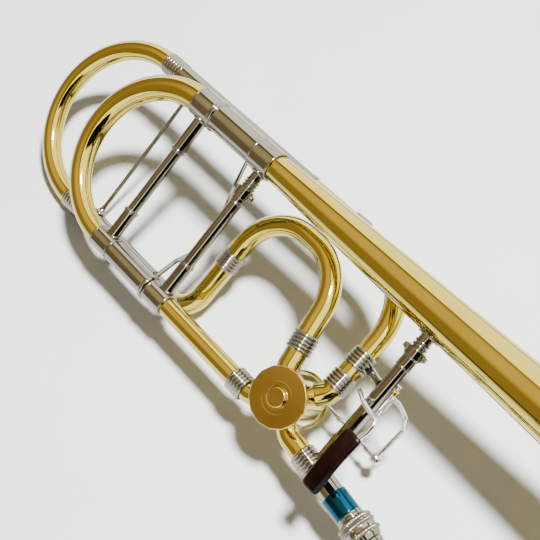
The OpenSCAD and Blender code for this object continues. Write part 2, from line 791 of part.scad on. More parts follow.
module inner_tubes() {
    color(STEEL) on_slide() for (z = [0, slide_gap]) translate([0, 0, z]) lathe_x()
        polygon([[6.9, 76.2 + (z > 0 ? 6 : 0)], [inner_tube_r, 76.2 + (z > 0 ? 6 : 0)],
                 [inner_tube_r, inner_end - 120], [stocking_r, inner_end - 119],
                 [stocking_r, inner_end], [6.9, inner_end]]);
}

// The lock ring turns on the end of the upper barrel and hooks the outer slide
module slide_lock_ring() {
    color(NICKEL) on_slide() translate([0, 0, slide_gap]) difference() {
        union() {
            lathe_x() polygon([[barrel_r + 0.08, 112], [11.9, 112], [12.2, 113], [12.2, 119],
                               [11.9, 120], [barrel_r + 0.08, 120]]);
            translate([113, 10.9, -3]) cube([6, 4.5, 6]);
            rotate([-62, 0, 0]) {
                translate([119, 10.9, -1.6]) cube([14.4, 1.3, 3.2]);
                translate([131.4, 9.4, -1.6]) cube([2, 2.8, 3.2]);
            }
        }
        translate([100, 0, 0]) rotate([0, 90, 0]) cylinder(h = 20.5, r = barrel_r + 0.08);
    }
}

// ---- hand slide, outer ----

module outer_tubes() {
    color(BRASS) on_slide() for (z = [0, slide_gap]) translate([0, 0, z])
        pipe(outer_start, outer_end, outer_tube_r, outer_tube_r - 7.6);
}

module outer_collars() {
    color(NICKEL) on_slide() for (z = [0, slide_gap]) translate([0, 0, z]) {
        lathe_x() polygon([[outer_tube_r + gap, 123.5], [9, 123.5], [9.2, 124.5], [9, 125.5],
                           [9, 176], [9.2, 177], [9, 178], [outer_tube_r + gap, 178]]);
        if (z > 0) rotate([-32, 0, 0]) translate([125.4, 8.6, -1.5]) cube([4.6, 2.1, 3]);
    }
}

module outer_brace() { color(NICKEL) on_slide() slide_cross(152, 9, 4.4); }

module slide_bow() {
    reach = slide_gap / 2;
    color(BRASS) on_slide()
        run([[outer_end + 0.2, 0, 0], [bow_x + reach, 0, 0], [bow_x + reach, 0, slide_gap],
             [outer_end + 0.2, 0, slide_gap]], [reach - 0.01, reach - 0.01], bow_r - 0.1, wall, 0);
}

module bow_ferrules() {
    color(NICKEL) on_slide() for (z = [0, slide_gap]) translate([0, 0, z]) lathe_x()
        polygon([[outer_tube_r + gap, 731], [9, 731], [bow_ring_r, 732], [bow_ring_r, 759],
                 [9, 760], [bow_r, 760], [bow_r, outer_end + 0.1], [outer_tube_r + gap, outer_end + 0.1]]);
}

module bow_bumper() {
    tip = bow_x + slide_gap / 2 + bow_r - 0.1;
    color("#222222") on_slide() translate([0, 0, slide_gap / 2]) difference() {
        lathe_x() polygon([[0, tip - 3], [5.5, tip - 3], [5.5, tip + 4.5], [4, tip + 7], [0, tip + 7]]);
        translate([bow_x, 0, 0]) rotate([90, 0, 0]) cylinder(h = 20, r = tip - bow_x + gap, center = true);
    }
}

module water_key() {
    color(BRASS) on_slide() difference() {
        union() {
            translate([key_x, -3.6, key_z]) rotate([-90, 0, 0]) cylinder(h = 7.2, r = 2.2);
            translate([key_x - 16, -1.6, key_z]) cube([16, 3.2, 1.6]);
            translate([key_x, -1.8, key_z]) rotate([0, -12, 0]) cube([22, 3.6, 1.6]);
            translate([key_x + 21, 0, key_z + 4.6]) cylinder(h = 1.8, r = 4.5);
            translate([key_x - 14, 0, 12.3]) cylinder(h = 3.2, r = 3.6);
        }
        translate([key_x, -6, key_z]) rotate([-90, 0, 0]) cylinder(h = 12, r = 1.08);
    }
}

module water_key_seat() {
    color(BRASS) on_slide() difference() {
        union() {
            translate([key_x - 14, 0, 5]) cylinder(h = 7.2, r = 3);
            for (y = [-5.4, 3.8]) translate([key_x - 2.2, y, 5]) cube([4.4, 1.6, key_z - 3]);
            translate([key_x, -6.2, key_z]) rotate([-90, 0, 0]) cylinder(h = 12.4, r = 1);
        }
        translate([key_x - 30, 0, 0]) rotate([0, 90, 0]) cylinder(h = 60, r = outer_tube_r + gap);
        translate([key_x - 14, 0, 5]) cylinder(h = 10, r = 1.5);
    }
}

bell_flare();
bell_stem();
bell_rim_wire();
bell_ferrule();
bell_sleeve();
neck_ferrule();
neck_inner_tube();
neckpipe();
ringed_ferrules();
valve_casing();
valve_back_plate();
stop_bumpers();
gooseneck();
slide_socket();
blue_ring();
loop_elbow();
loop_crown();
loop_s_bend();
return_elbow();
return_link();
return_bend();
f_outer_sleeves();
f_slide_stay();
front_brace();
main_brace();
f_stays();
hinge_posts();
hinge_pin();
trigger_spring();
tuning_crook();
crook_ferrule_bell();
crook_ferrule_neck();
crook_inner_leg();
crook_outer_sleeve();
slide_brace();
f_crook();
f_crook_ferrules();
f_inner_legs();
valve_cap();
rotor();
rotor_arm();
trigger_lever();
trigger_paddle();
trigger_arm();
link_rod();
bell_nut();
slide_tenon();
mouthpiece_receiver();
cork_barrels();
grip_brace();
inner_tubes();
slide_lock_ring();
outer_tubes();
outer_collars();
outer_brace();
slide_bow();
bow_ferrules();
bow_bumper();
water_key();
water_key_seat();
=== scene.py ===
"""A tenor trombone with an F attachment, lying on a pale table. Sizes are in millimetres."""
import json
import math

import bmesh
import bpy
from mathutils import Matrix, Vector


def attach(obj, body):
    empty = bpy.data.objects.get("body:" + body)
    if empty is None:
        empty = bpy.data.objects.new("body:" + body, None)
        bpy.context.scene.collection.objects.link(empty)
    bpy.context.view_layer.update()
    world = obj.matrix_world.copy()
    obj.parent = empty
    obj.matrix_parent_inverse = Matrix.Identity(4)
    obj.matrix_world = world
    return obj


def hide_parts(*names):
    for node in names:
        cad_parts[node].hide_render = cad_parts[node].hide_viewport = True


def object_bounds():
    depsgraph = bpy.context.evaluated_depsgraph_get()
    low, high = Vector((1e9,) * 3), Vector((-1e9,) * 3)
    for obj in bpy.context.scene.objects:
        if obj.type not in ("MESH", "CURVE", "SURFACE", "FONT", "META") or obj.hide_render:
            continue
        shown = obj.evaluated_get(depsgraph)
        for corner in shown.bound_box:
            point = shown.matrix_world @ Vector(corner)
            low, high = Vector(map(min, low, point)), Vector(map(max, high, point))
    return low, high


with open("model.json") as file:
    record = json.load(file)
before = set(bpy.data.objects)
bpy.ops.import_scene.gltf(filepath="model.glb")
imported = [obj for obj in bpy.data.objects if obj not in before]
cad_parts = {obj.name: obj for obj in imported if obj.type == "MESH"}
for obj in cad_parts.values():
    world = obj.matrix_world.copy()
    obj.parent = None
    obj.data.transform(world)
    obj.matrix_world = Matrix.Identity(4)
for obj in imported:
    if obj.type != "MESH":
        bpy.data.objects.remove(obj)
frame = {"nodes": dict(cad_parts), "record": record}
cad_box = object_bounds()

# ---- the instrument's own axes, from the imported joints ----

MM = 0.001
joints = {j["name"]: j for j in frame["record"]["behaviour"]["joints"]}
VALVE = Vector((195.4, 17, 0))
NUT_MIDDLE = Vector((61, 0, 0))


def axis_of(joint):
    return Vector(joints[joint]["axis"]).normalized()


def axes_frame(x, y, known, at):
    """Matrix from millimetres along x, y and x cross y, so that the point known lands at at."""
    z = x.cross(y)
    turn = Matrix((x, y, z)).transposed()
    scaled = turn.to_4x4() @ Matrix.Scale(MM, 4)
    return Matrix.Translation(Vector(at) - (scaled @ known)) @ scaled


side = axis_of("trigger_press")
front = axis_of("valve_cap_turn")
BODY = axes_frame(side.cross(front), side, VALVE, joints["valve_cap_turn"]["pos_m"])
SLIDE = axes_frame(axis_of("hand_slide"), axis_of("water_key_press"), NUT_MIDDLE,
                   joints["nut_turn"]["pos_m"])
TO_BODY = BODY.inverted() @ SLIDE


def on_slide(x, z=0):
    """A point of the hand slide, in the bell section's axes."""
    return TO_BODY @ Vector((x, 0, z))


# ---- driving sizes, as in the CAD ----

LEG_GAP = 122
BELL_END = 655
BELL_MOUTH_R = 108
BELL_WALL = 0.8
F_LOW = -6.4
F_HIGH = 124.4
F_DEPTH = -36.3
F_R = 7.65
SLIDE_GAP = 88
WALL = 0.7
RINGS = (2, 20.4, 64.3, 83.3)
FRONT_X = 75.5
BRACE_X = 238.5
SLIDE_BRACE_X = 12.5
HINGE = Vector((242, 0, -10))
BALL = Vector((254.5, 20.5, -34))
ALONG_X = Vector((1, 0, 0))
ALONG_Y = Vector((0, 1, 0))
ALONG_Z = Vector((0, 0, 1))
BOW_X = 765


# ---- mesh building ----

class Shape:
    """Collects lofted surfaces and turns them into one closed piece."""

    def __init__(self, space):
        self.space = space
        self.verts = []
        self.faces = []

    def loft(self, rings, wrap=False):
        base = len(self.verts)
        count = len(rings)
        around = len(rings[0])
        for ring in rings:
            self.verts.extend(self.space @ p for p in ring)
        for j in range(count if wrap else count - 1):
            for k in range(around):
                a = base + j * around
                b = base + (j + 1) % count * around
                m = (k + 1) % around
                self.faces.append((a + k, a + m, b + m, b + k))

    def turned(self, outline, at=(0, 0, 0), along=(1, 0, 0), soften=0.25, warp=None, segments=72):
        """Revolves a closed outline of (station, radius) points about a line."""
        place = Matrix.Translation(Vector(at)) @ aim(along)
        points = softened(outline, soften)
        rings = []
        for station, radius in points:
            ring = []
            for k in range(segments):
                a = math.tau * k / segments
                r = warp(radius, a, station) if warp else radius
                ring.append(place @ Vector((station, r * math.cos(a), r * math.sin(a))))
            rings.append(ring)
        self.loft(rings, wrap=True)

    def tube(self, path, radius, wall=None, sides=48):
        """Sweeps a round tube along a path; radius is a number or a function of 0 to 1."""
        size = radius if callable(radius) else lambda t: radius
        stations = transported(path)
        last = len(stations) - 1

        def ring(i, r):
            p, u, v = stations[i]
            return [p + r * (math.cos(a) * u + math.sin(a) * v)
                    for a in (math.tau * k / sides for k in range(sides))]

        outside = [ring(i, size(i / last)) for i in range(last + 1)]
        if wall is None:
            self.loft([ring(0, 0)] + outside + [ring(last, 0)])
        else:
            inside = [ring(i, size(i / last) - wall) for i in range(last, -1, -1)]
            self.loft(outside + inside, wrap=True)

    def piece(self, name, material, body, *nodes):
        mesh = bpy.data.meshes.new(name)
        mesh.from_pydata([tuple(v) for v in self.verts], [], self.faces)
        work = bmesh.new()
        work.from_mesh(mesh)
        bmesh.ops.remove_doubles(work, verts=work.verts, dist=2e-6)
        bmesh.ops.dissolve_degenerate(work, edges=work.edges, dist=1e-7)
        bmesh.ops.recalc_face_normals(work, faces=work.faces)
        work.to_mesh(mesh)
        work.free()
        mesh.shade_smooth()
        mesh.materials.append(material)
        piece = bpy.data.objects.new(name, mesh)
        bpy.context.scene.collection.objects.link(piece)
        weighted = piece.modifiers.new("even_shading", "WEIGHTED_NORMAL")
        weighted.weight = 80
        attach(piece, body)
        if nodes:
            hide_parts(*nodes)
        return piece


def aim(direction):
    """Rotation that takes +X to a direction."""
    return Vector((1, 0, 0)).rotation_difference(Vector(direction)).to_matrix().to_4x4()


def softened(outline, reach, steps=3):
    """Rounds every corner of a closed outline that is off the axis."""
    points = [Vector(p) for p in outline]
    result = []
    for i, corner in enumerate(points):
        back = points[i - 1] - corner
        ahead = points[(i + 1) % len(points)] - corner
        on_axis = corner.y < 1e-6
        if reach == 0 or on_axis or back.length < 1e-6 or ahead.length < 1e-6:
            result.append(corner)
            continue
        if back.angle(ahead) > math.radians(172):
            result.append(corner)
            continue
        cut = min(reach, 0.45 * back.length, 0.45 * ahead.length)
        a = corner + back.normalized() * cut
        b = corner + ahead.normalized() * cut
        for k in range(steps + 1):
            t = k / steps
            result.append(a * (1 - t) ** 2 + corner * 2 * t * (1 - t) + b * t ** 2)
    return result


def rounded(corners, bends, step=4):
    """A route's corner points with each corner rounded into an arc, one point per few degrees."""
    p = [Vector(c) for c in corners]
    path = [p[0]]
    for i in range(1, len(p) - 1):
        before = (p[i] - p[i - 1]).normalized()
        after = (p[i + 1] - p[i]).normalized()
        turn = before.angle(after)
        radius = bends[i - 1]
        out = before.cross(before.cross(after).normalized())
        centre = p[i] - before * radius * math.tan(turn / 2) - out * radius
        count = max(2, math.ceil(math.degrees(turn) / step))
        for k in range(count + 1):
            a = turn * k / count
            path.append(centre + radius * (out * math.cos(a) + before * math.sin(a)))
    path.append(p[-1])
    return path


def transported(path):
    """Each point of a path with two directions across it that don't twist."""
    result = []
    across = None
    for i, p in enumerate(path):
        tangent = (path[min(i + 1, len(path) - 1)] - path[max(i - 1, 0)]).normalized()
        if across is None:
            across = tangent.orthogonal()
        across = (across - tangent * across.dot(tangent)).normalized()
        result.append((p, across, tangent.cross(across)))
    return result


def u_bend(start, centre, reach, out, across, steps):
    """A half turn from start, through centre + reach along out, to start's far side."""
    path = [start]
    for k in range(steps + 1):
        a = math.pi * k / steps
        path.append(centre + reach * (math.sin(a) * out - math.cos(a) * across))
    path.append(start + 2 * reach * across)
    return path


def step_towards(a, b, distance):
    return Vector(a) + (Vector(b) - Vector(a)).normalized() * distance


def banded(bands, bore=0.0):
    """Outline of a turned part from bands of (start, end, radius)."""
    outline = [(bands[0][0], bore)]
    for start, end, radius in bands:
        outline += [(start, radius), (end, radius)]
    return outline + [(bands[-1][1], bore)]


def beaded(start, length, bore, low, high, count):
    """Outline of a collar with round beads."""
    pitch = length / count
    outline = [(start, bore), (start, low)]
    for i in range(count):
        middle = start + (i + 0.5) * pitch
        half = 0.42 * pitch
        outline.append((middle - half, low))
        for k in range(1, 6):
            a = math.pi * k / 6
            outline.append((middle - half * math.cos(a), low + (high - low) * math.sin(a)))
        outline.append((middle + half, low))
    return outline + [(start + length, low), (start + length, bore)]


def ferrule(start, end, bore, radius, bead=0.3, bead_len=1.3):
    """Outline of a plain ferrule with a fine bead at each end."""
    return [(start, bore), (start, radius)] + bead_points(start, bead_len, radius, bead) + \
        bead_points(end - bead_len, bead_len, radius, bead) + [(end, radius), (end, bore)]


def bead_points(start, length, low, rise):
    return [(start + length * (0.5 - 0.5 * math.cos(a)), low + rise * math.sin(a))
            for a in (math.pi * k / 6 for k in range(7))]


def knurled(count, depth, above):
    """Cuts fine flutes into whatever is outside a radius."""
    def warp(radius, angle, station):
        if radius < above:
            return radius
        return radius - depth * (0.5 + 0.5 * math.cos(count * angle)) ** 2
    return warp


# ---- materials ----

def node(tree, kind, **values):
    made = tree.nodes.new(kind)
    for key, value in values.items():
        if key in made.inputs:
            made.inputs[key].default_value = value
        else:
            setattr(made, key, value)
    return made


def ramp(tree, stops, source):
    made = tree.nodes.new("ShaderNodeValToRGB")
    elements = made.color_ramp.elements
    while len(elements) < len(stops):
        elements.new(0.5)
    for element, (place, colour) in zip(elements, stops):
        element.position = place
        element.color = (*colour, 1)
    tree.links.new(source, made.inputs["Fac"])
    return made.outputs["Color"]


def noise(tree, coords, scale, detail=4, stretch=(1, 1, 1)):
    mapping = node(tree, "ShaderNodeMapping")
    mapping.inputs["Scale"].default_value = stretch
    tree.links.new(coords, mapping.inputs["Vector"])
    made = node(tree, "ShaderNodeTexNoise", Scale=scale, Detail=detail)
    tree.links.new(mapping.outputs["Vector"], made.inputs["Vector"])
    return made.outputs["Fac"]


def material(name, colours, rough, bump, scales, stretch=(1, 1, 1), **values):
    """A procedural surface: tone, gloss and relief each vary with a noise of their own."""
    made = bpy.data.materials.new(name)
    made.use_nodes = True
    tree = made.node_tree
    shader = tree.nodes["Principled BSDF"]
    for key, value in values.items():
        shader.inputs[key.replace("_", " ")].default_value = value
    coords = node(tree, "ShaderNodeTexCoord").outputs["Object"]
    tone = noise(tree, coords, scales[0], 5, stretch)
    tree.links.new(ramp(tree, [(0.3, colours[0]), (0.7, colours[1])], tone),
                   shader.inputs["Base Color"])
    smudge = noise(tree, coords, scales[1], 6, stretch)
    gloss = ramp(tree, [(0.35, (rough[0],) * 3), (0.75, (rough[1],) * 3)], smudge)
    tree.links.new(gloss, shader.inputs["Roughness"])
    relief = noise(tree, coords, scales[2], 3, stretch)
    height = node(tree, "ShaderNodeBump", Strength=bump, Distance=0.0002)
    tree.links.new(relief, height.inputs["Height"])
    tree.links.new(height.outputs["Normal"], shader.inputs["Normal"])
    return made


BRASS = material("lacquered_brass", [(0.43, 0.335, 0.05), (0.48, 0.38, 0.062)], (0.02, 0.05), 0.02,
                 (30, 55, 90), Metallic=1.0, Coat_Weight=0.25, Coat_Roughness=0.03)
CAP_BRASS = material("cap_brass", [(0.42, 0.29, 0.075), (0.47, 0.33, 0.09)], (0.09, 0.15), 0.05,
                     (60, 300, 900), Metallic=1.0)
NICKEL = material("nickel_silver", [(0.20, 0.19, 0.157), (0.25, 0.238, 0.20)], (0.02, 0.06), 0.02,
                  (35, 60, 110), Metallic=1.0)
CHROME = material("chrome_plate", [(0.80, 0.81, 0.82), (0.85, 0.86, 0.87)], (0.03, 0.07), 0.01,
                  (25, 60, 110), Metallic=1.0)
STEEL = material("bright_steel", [(0.55, 0.55, 0.54), (0.68, 0.67, 0.65)], (0.10, 0.22), 0.05,
                 (120, 260, 500), Metallic=1.0)
WOOD = material("dark_wood", [(0.001, 0.0003, 0.0003), (0.010, 0.0014, 0.001)], (0.16, 0.32), 0.12,
                (90, 160, 420), stretch=(1.6, 0.28, 1.6), Specular_IOR_Level=0.1, Coat_Weight=0.03,
                Coat_Roughness=0.1)
BLUE = material("blue_ring_metal", [(0.004, 0.042, 0.085), (0.007, 0.06, 0.11)], (0.10, 0.18), 0.03,
                (60, 140, 600), Metallic=1.0)
RUBBER = material("black_rubber", [(0.012, 0.012, 0.012), (0.03, 0.03, 0.03)], (0.55, 0.75), 0.25,
                  (80, 200, 900))
CORK = material("cork", [(0.30, 0.17, 0.08), (0.46, 0.29, 0.15)], (0.7, 0.9), 0.5, (300, 200, 900))
TABLE = material("pale_table", [(0.79, 0.79, 0.775), (0.83, 0.83, 0.82)], (0.55, 0.7), 0.04,
                 (9, 14, 300), Specular_IOR_Level=0.0)


# ---- bell and bell-side tubing ----

def bell_radius(x):
    s = BELL_END - x
    return BELL_MOUTH_R * (39.4 / (s + 39.4)) ** 0.8 - 6.1e-5 * max(0, s - 380) ** 2


def bell_slope(x):
    return (bell_radius(x + 0.1) - bell_radius(x - 0.1)) / 0.2


def make_bell():
    rim_r, rim_inset = 1.6, 1.9
    start, end, count = RINGS[3] - 7, BELL_END - 1.5, 110
    stations = [end - (end - start) * (i / count) ** 1.6 for i in range(count + 1)]
    outer = [(x, bell_radius(x)) for x in stations]
    inner = []
    for x in reversed(stations):
        m = bell_slope(x)
        k = BELL_WALL / math.sqrt(1 + m * m)
        inner.append((x + k * m, bell_radius(x) - k))
    shape = Shape(BODY)
    shape.turned(outer + inner, (0, LEG_GAP, 0), soften=0, segments=144)
    shape.piece("bell", BRASS, "bell_section", "bell_flare", "bell_stem")
    centre = Vector((end, bell_radius(end))) + Vector((1, bell_slope(end))).normalized() * rim_inset
    rim = [(centre.x + rim_r * math.cos(a), centre.y + rim_r * math.sin(a))
           for a in (math.tau * k / 24 for k in range(24))]
    wire = Shape(BODY)
    wire.turned(rim, (0, LEG_GAP, 0), soften=0, segments=144)
    wire.piece("rim_wire", BRASS, "bell_section", "bell_rim_wire")


def make_bell_side():
    _, ring_2, ring_3, ring_4 = RINGS
    shape = Shape(BODY)
    shape.turned([(ring_2 + 0.3, 9.9)] + [(ring_2 + 0.3, 11.1)]
                 + bead_points(ring_2 + 0.4, 2.7, 11.1, 0.8)
                 + [(ring_2 + 3.3, 10.5), (ring_3 + 8, 10.5), (ring_3 + 8, 9.9)],
                 (0, LEG_GAP, 0))
    shape.piece("bell_slide_sleeve", NICKEL, "bell_section", "bell_sleeve")
    shape = Shape(BODY)
    outline = ferrule(ring_3 + 0.2, ring_4, 10.55, 11.15, 0.28)
    outline[-1] = (ring_4, 10.0)
    shape.turned(outline, (0, LEG_GAP, 0))
    shape.piece("bell_end_ferrule", NICKEL, "bell_section", "bell_ferrule")
    shape = Shape(BODY)
    shape.turned(ferrule(ring_3 + 0.2, ring_4, 7.35, 8.75, 0.28))
    shape.piece("neck_end_ferrule", NICKEL, "bell_section", "neck_ferrule")


def make_tuning_slide():
    ring_1, ring_2, ring_3, _ = RINGS
    path = u_bend(Vector((10, 0, 0)), Vector((4, LEG_GAP / 2, 0)), LEG_GAP / 2, -ALONG_X,
                  ALONG_Y, 60)
    crook = Shape(BODY)
    crook.tube(path, lambda t: 7.55 + 2.35 * t, WALL, sides=64)
    crook.piece("tuning_slide_crook", BRASS, "tuning_slide", "tuning_crook")
    for y, bore, radius, name in ((LEG_GAP, 10.1, 10.85, "bell"), (0, 7.75, 8.65, "neck")):
        shape = Shape(BODY)
        shape.turned(ferrule(ring_1, ring_2, bore, radius, 0.28), (0, y, 0))
        shape.piece(f"crook_end_{name}", NICKEL, "tuning_slide", f"crook_ferrule_{name}")
    shape = Shape(BODY)
    shape.turned([(ring_2, 7.38), (ring_2, 8.3), (ring_3 - 3.6, 8.3)]
                 + bead_points(ring_3 - 3.5, 3.1, 8.9, 1.0) + [(ring_3 - 0.3, 7.38)])
    shape.piece("crook_neck_sleeve", NICKEL, "tuning_slide", "crook_outer_sleeve")
    brace = Shape(BODY)
    brace.turned(banded([(4, 29, 4.95), (29, 30.4, 5.7), (30.4, 31.3, 5.0), (31.3, 84, 4.2),
                         (84, 85, 5.0), (85, 86.4, 5.7), (86.4, 116, 4.95)]),
                 (SLIDE_BRACE_X, 0, 0), ALONG_Y)
    add_foot(brace, Vector((SLIDE_BRACE_X, 0, 0)), ALONG_Y, 8.7)
    add_foot(brace, Vector((SLIDE_BRACE_X, LEG_GAP, 0)), -ALONG_Y, 10.9)
    brace.piece("tuning_slide_brace", NICKEL, "tuning_slide", "slide_brace")


def add_foot(shape, at, across, tube_r, half_length=6, half_angle=38, leaf=0.85):
    """The thin leaf that solders a brace, running across, to a tube along X through at."""
    over = ALONG_Z if across.y else ALONG_Y
    columns, rows = 14, 12
    rings = []
    for i in range(columns + 1):
        t = -1 + 2 * i / columns
        spread = math.radians(half_angle) * math.sqrt(max(0, 1 - t * t))
        ring = []
        for sign, thick in ((1, leaf), (-1, 0)):
            for k in range(rows + 1):
                u = (2 * k / rows - 1) * sign
                r = tube_r + thick * (1 - u ** 8)
                ring.append(at + half_length * t * ALONG_X + r * math.cos(spread * u) * across
                            + r * math.sin(spread * u) * over)
        rings.append(ring)
    shape.loft(rings)


def make_front_brace():
    shape = Shape(BODY)
    sleeve = [(4, 30, 5.1), (30, 31.4, 5.8), (31.4, 32.4, 5.0), (32.4, 86, 4.5)]
    knob = [(86, 87, 5.4), (87, 88, 4.7), (88, 91, 5.4), (91, 98.5, 6.3), (98.5, 99.6, 4.6),
            (99.6, 100.8, 5.3), (100.8, 102, 4.3), (102, 103.2, 5.3), (103.2, 104.4, 4.3),
            (104.4, 105.6, 5.3), (105.6, 114, 4.5)]
    shape.turned(banded(sleeve + knob), (FRONT_X, 0, 0), ALONG_Y)
    shape.turned(banded([(-8.5, -7, 1.9), (-7, 7, 2.4), (7, 8.5, 1.9)]), (FRONT_X, 95, 0))
    add_foot(shape, Vector((FRONT_X, 0, 0)), ALONG_Y, 8.8)
    add_foot(shape, Vector((FRONT_X, LEG_GAP, 0)), -ALONG_Y, 11.2)
    shape.piece("front_bell_brace", NICKEL, "bell_section", "front_brace")


def make_main_brace():
    shape = Shape(BODY)
    sleeve = [(0, 21, 5.2), (21, 22.4, 6), (22.4, 23.8, 5.2), (23.8, 82, 4.7)]
    knob = [(82, 83, 5.6), (83, 90, 5.2), (90, 91, 6), (91, 97, 6.8), (97, 98.2, 4.8),
            (98.2, 99.6, 5.6), (99.6, 101, 4.6), (101, 102.4, 5.6), (102.4, 110, 4.8)]
    shape.turned(banded(sleeve + knob), (BRACE_X, 0, 0), ALONG_Y)
    shape.turned(banded([(-9, -7.4, 1.9), (-7.4, 7.4, 2.4), (7.4, 9, 1.9)]), (BRACE_X, 94, 0))
    add_foot(shape, Vector((BRACE_X, LEG_GAP, 0)), -ALONG_Y, bell_radius(BRACE_X) + 0.1, 8, 24)
    shape.piece("main_bell_brace", NICKEL, "bell_section", "main_brace")


def make_stays():
    """The thin ties that carry the F tubing: two bent wires, a short post and a long stay."""
    stays = Shape(BODY)
    stays.tube(rounded([(40, 117, -34), (54, 90, -22), (73, 71.5, -1)], [12]), 1.6, sides=20)
    stays.tube(rounded([(44, 0.5, -30), (56, 22, -18), (73, 40, -0.5)], [12]), 1.8, sides=20)
    stays.turned(banded([(0, 12, 3.1), (12, 13, 2.5), (13, 24.5, 2.8)]), (216.6, 62.4, -20.5),
                 Vector((16.2, 1.5, 17)).normalized())
    stays.turned([(0, 0), (0, 3.2), (1.2, 3.4), (2.6, 2.4), (2.6, 0)], (43.4, 1.0, -30),
                 (12, 19, 11))
    stays.turned([(0, 0), (0, 3.0), (1.2, 3.2), (2.6, 2.2), (2.6, 0)], (40.4, 115.4, -33.4),
                 (14, -23, 11))
    stays.piece("tie_stays", NICKEL, "bell_section", "f_stays")

    sleeve_r = 8.15
    span = F_HIGH - F_LOW - 2 * sleeve_r
    stay = Shape(BODY)
    flare = [(0, 5.0), (1.2, 4.4), (2.4, 3.0), (4, 2.2), (7, 1.7), (10, 1.6)]
    ends = flare + [(span - s, r) for s, r in reversed(flare)]
    stay.turned([(0, 0)] + ends + [(span, 0)], (-34, F_LOW + sleeve_r, F_DEPTH), ALONG_Y,
                soften=0.3)
    stay.piece("f_slide_thin_stay", NICKEL, "bell_section", "f_slide_stay")


# ---- neck, valve and gooseneck ----

NECK_CORNER = Vector((174, 0, 0))
SLIDE_CORNER = on_slide(-15.6)
LOOP = [VALVE, Vector((180.3, 29.6, -1)), Vector((164, 100, -14)), Vector((86, 100, -27)),
        Vector((80, F_LOW, F_DEPTH)), Vector((56, F_LOW, F_DEPTH))]
RETURN = [VALVE, Vector((211, 35.9, -8)), Vector((206, F_HIGH, F_DEPTH)),
          Vector((95, F_HIGH, F_DEPTH))]
PORT_IN = 16.6
LOOP_IN = LOOP[1].lerp(LOOP[2], 0.26)
LOOP_OUT = LOOP[3].lerp(LOOP[4], 0.49)
LOW = RETURN[1].lerp(RETURN[2], 0.1)
HIGH = RETURN[1].lerp(RETURN[2], 0.305)


def bent(name, corners, bends, radius, nodes, wall=WALL):
    shape = Shape(BODY)
    shape.tube(rounded(corners, bends), radius, wall)
    shape.piece(name, BRASS, "bell_section", *nodes)


def make_tubing():
    bent("neck_tube", [(76, 0, 0), NECK_CORNER, step_towards(VALVE, NECK_CORNER, PORT_IN)], [15],
         7.25, ["neckpipe"])
    bent("goose_tube", [step_towards(VALVE, SLIDE_CORNER, PORT_IN), SLIDE_CORNER, on_slide(12.9)],
         [12], 7.6, ["gooseneck"])
    bent("loop_elbow_tube", [step_towards(VALVE, LOOP[1], PORT_IN), LOOP[1], LOOP_IN], [8.5],
         F_R, ["loop_elbow"])
    bent("loop_crown_tube", [LOOP_IN, LOOP[2], LOOP[3], LOOP_OUT], [40, 42], F_R, ["loop_crown"])
    bent("loop_tail_tube", [LOOP_OUT, LOOP[4], LOOP[5]], [22], F_R, ["loop_s_bend"])
    bent("return_elbow_tube", [step_towards(VALVE, RETURN[1], PORT_IN), RETURN[1], LOW], [8],
         F_R, ["return_elbow"])
    bent("return_link_tube", [LOW, HIGH], [], F_R, ["return_link"])
    bent("return_bend_tube", [HIGH, RETURN[2], RETURN[3]], [52], F_R, ["return_bend"])


def make_ringed_ferrules():
    places = [(Vector((162.5, 0, 0)), Vector((1, 0, 0))),
              (LOOP_IN, LOOP[2] - LOOP[1]), (LOOP_OUT, LOOP[4] - LOOP[3]),
              (LOW, RETURN[2] - RETURN[1]), (HIGH, RETURN[2] - RETURN[1]),
              (Vector((141, F_HIGH, F_DEPTH)), Vector((1, 0, 0))),
              (on_slide(6.5), on_slide(1) - on_slide(0))]
    shape = Shape(BODY)
    for at, along in places:
        shape.turned(beaded(-6.5, 13, 7.66, 8.25, 9.15, 5), at, along, soften=0)
    shape.piece("ringed_joints", NICKEL, "bell_section", "ringed_ferrules")


def facetted(sides, above):
    """Flattens whatever is outside a radius towards a polygon."""
    def warp(radius, angle, station):
        if radius < above:
            return radius
        half = math.pi / sides
        flat = 0.985 / math.cos((angle % (2 * half)) - half)
        return radius * (0.25 + 0.75 * flat)
    return warp


def make_valve():
    shape = Shape(BODY)
    shape.turned([(-16.5, 16.1), (-16.5, 17.9), (-15.9, 18.3), (-13.4, 18.3), (-13, 18.05),
                  (11.4, 18.05), (11.8, 18.3), (14.2, 18.3), (14.8, 17.9), (14.8, 16.1)],
                 VALVE, ALONG_Z, soften=0.3, segments=96)
    shape.piece("casing_shell", BRASS, "bell_section", "valve_casing")
    plate = Shape(BODY)
    plate.turned([(-19.7, 3.1), (-19.7, 17.4), (-19.1, 18.2), (-19.1, 19.5), (-17.5, 19.5),
                  (-17.5, 18.2), (-16.6, 18.2), (-16.6, 3.1)], VALVE, ALONG_Z, soften=0.25,
                 warp=knurled(60, 0.4, 19), segments=240)
    plate.piece("back_plate_disc", BRASS, "bell_section", "valve_back_plate")

    cap = Shape(BODY)
    cap.turned([(13, 0), (13, 15.8), (15, 15.8), (15.1, 19.6), (15.6, 20.2), (18.4, 20.2),
                (19, 19.7), (19.1, 11), (19.0, 10.6), (19.1, 10.2), (19.1, 7.7), (18.8, 7.3),
                (19.1, 7.0), (21, 6.5), (21.4, 5.9), (21.3, 0)], VALVE, ALONG_Z, soften=0.35,
               warp=facetted(14, 17), segments=168)
    cap.piece("cap_disc", CAP_BRASS, "valve_cap", "valve_cap")


# ---- F tuning slide ----

